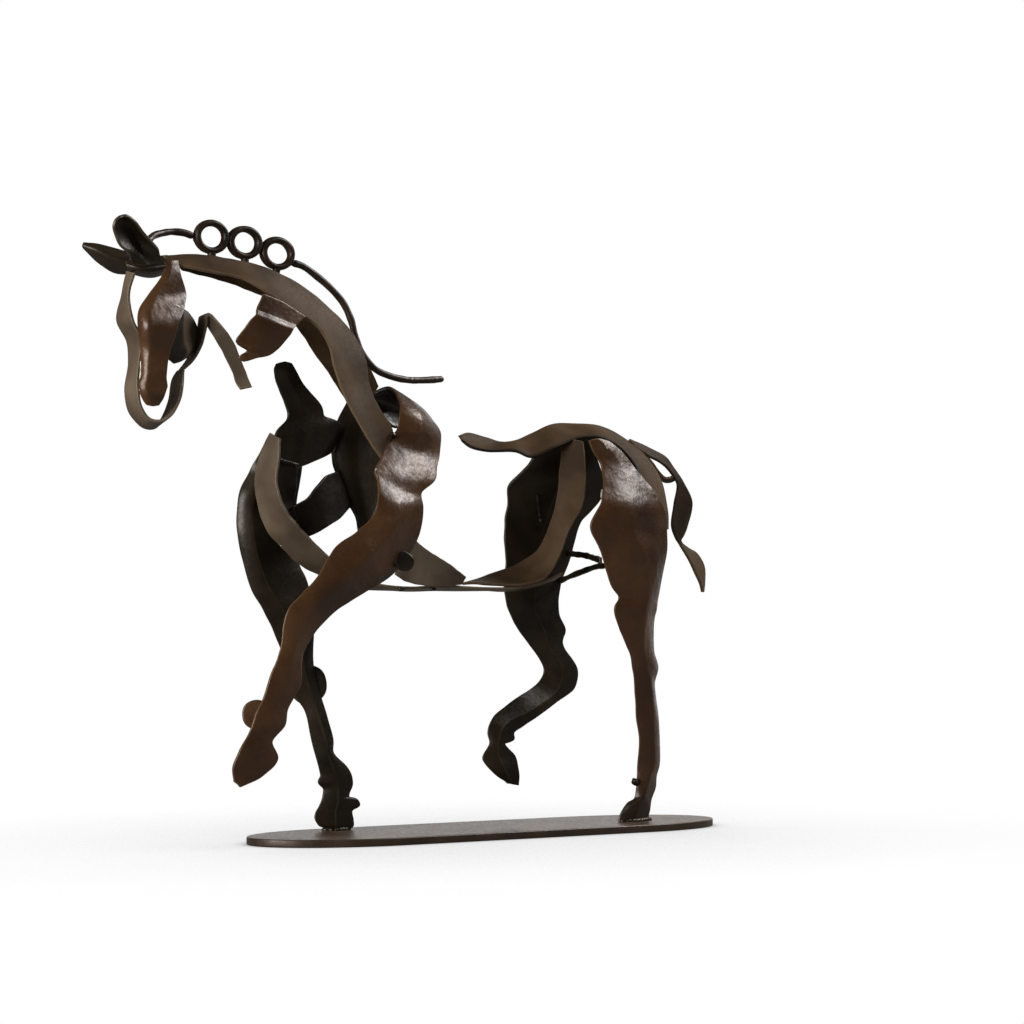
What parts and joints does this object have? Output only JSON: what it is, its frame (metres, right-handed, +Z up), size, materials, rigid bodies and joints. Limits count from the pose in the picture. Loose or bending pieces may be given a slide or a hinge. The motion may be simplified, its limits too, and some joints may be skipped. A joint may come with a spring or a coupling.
{
  "type": "metal horse figure",
  "caption": "Trotting horse welded from cut and bent sheet steel straps, plates and rod, standing on an oval steel plate.",
  "frame": {"origin": "middle of the base plate's flat underside", "axes": "+Z up, the horse's head towards -X and its tail towards +X, its left (near) side towards -Y"},
  "size_m": [0.2934, 0.06, 0.236],
  "materials": {
    "plate": "satin dark brown lacquer over mill-finish steel",
    "brown_sheet": "semi-gloss warm brown lacquer over hammered steel",
    "strap_sheet": "semi-gloss grey-brown lacquer over steel strap",
    "dark_sheet": "semi-gloss black-brown lacquer over steel",
    "rod": "semi-gloss black-brown lacquer over bent rod"
  },
  "bodies": {
    "root": {"base_plate": "plate", "far_foreleg": "dark_sheet", "near_foreleg": "brown_sheet", "near_hind_leg": "brown_sheet", "far_hind_leg": "dark_sheet", "croup_strip": "strap_sheet", "near_crest_strip": "strap_sheet", "far_crest_strip": "strap_sheet", "chest_strap": "strap_sheet", "flank_strap": "strap_sheet", "breast_plate": "dark_sheet", "far_shoulder": "dark_sheet", "breast_limb": "dark_sheet", "breast_web": "dark_sheet", "girth_gusset": "strap_sheet", "elbow_slug": "dark_sheet", "fetlock_disc": "brown_sheet", "knee_disc": "dark_sheet", "throat_leaf": "brown_sheet", "face_plate": "brown_sheet", "face_strap": "strap_sheet", "jaw_strap": "strap_sheet", "cheek_plate": "dark_sheet", "poll_plate": "dark_sheet", "near_ear": "dark_sheet", "far_ear": "dark_sheet", "mane_ring_1": "rod", "mane_ring_2": "rod", "mane_ring_3": "rod", "mane_rod_front": "rod", "mane_rod_back": "rod", "tail_strip": "strap_sheet", "tail_loop": "strap_sheet", "groin_bar_upper": "dark_sheet", "groin_bar_lower": "dark_sheet"}
  },
  "joints": []
}
